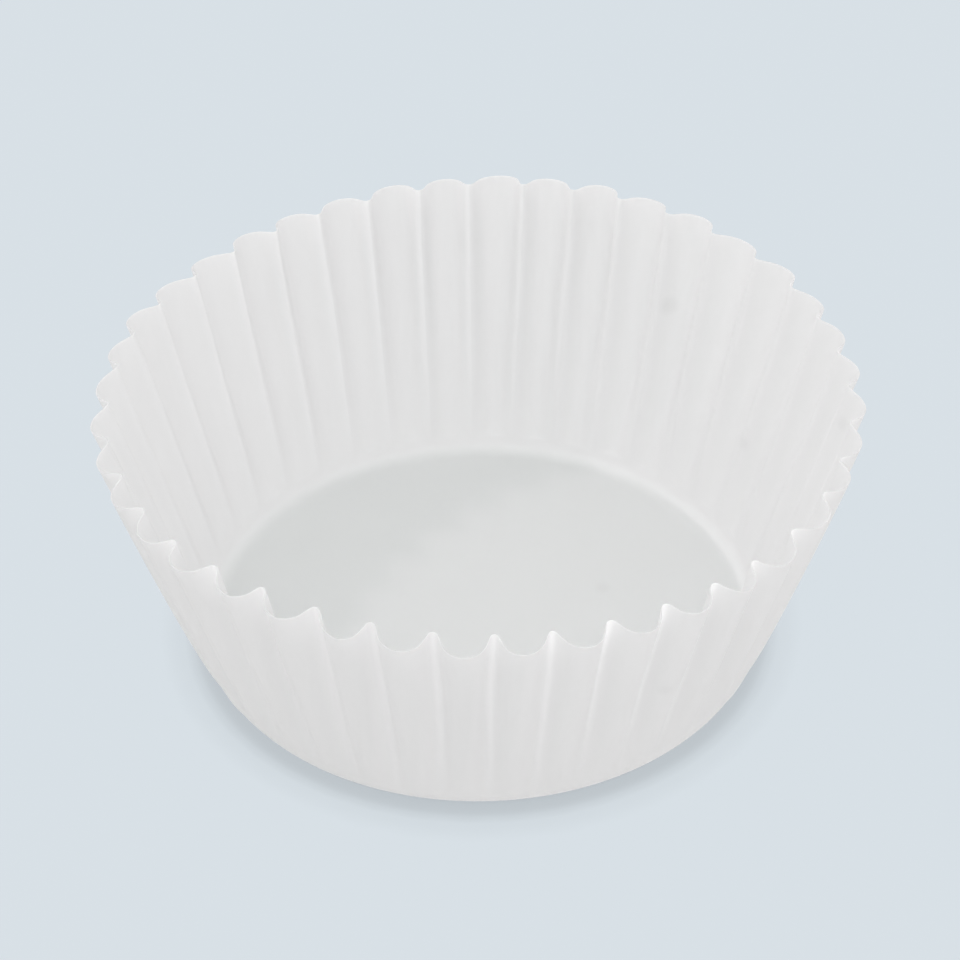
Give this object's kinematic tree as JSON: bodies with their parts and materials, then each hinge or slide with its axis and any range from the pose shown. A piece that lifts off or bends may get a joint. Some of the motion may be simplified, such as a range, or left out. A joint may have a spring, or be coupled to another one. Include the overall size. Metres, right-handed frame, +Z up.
{
  "type": "cupcake liner",
  "caption": "Round paper baking cup, open at the top, with a flat floor and a flaring wall of round flutes that end in a scalloped rim.",
  "frame": {"origin": "centre of the underside of the floor, where the cup rests", "axes": "+Z up the middle of the cup and out of its mouth, +X through the crest of one flute"},
  "size_m": [0.0696, 0.0696, 0.0266],
  "materials": {
    "paper": "matt white greaseproof paper, faintly translucent"
  },
  "bodies": {
    "root": {"liner": "paper"}
  },
  "joints": []
}
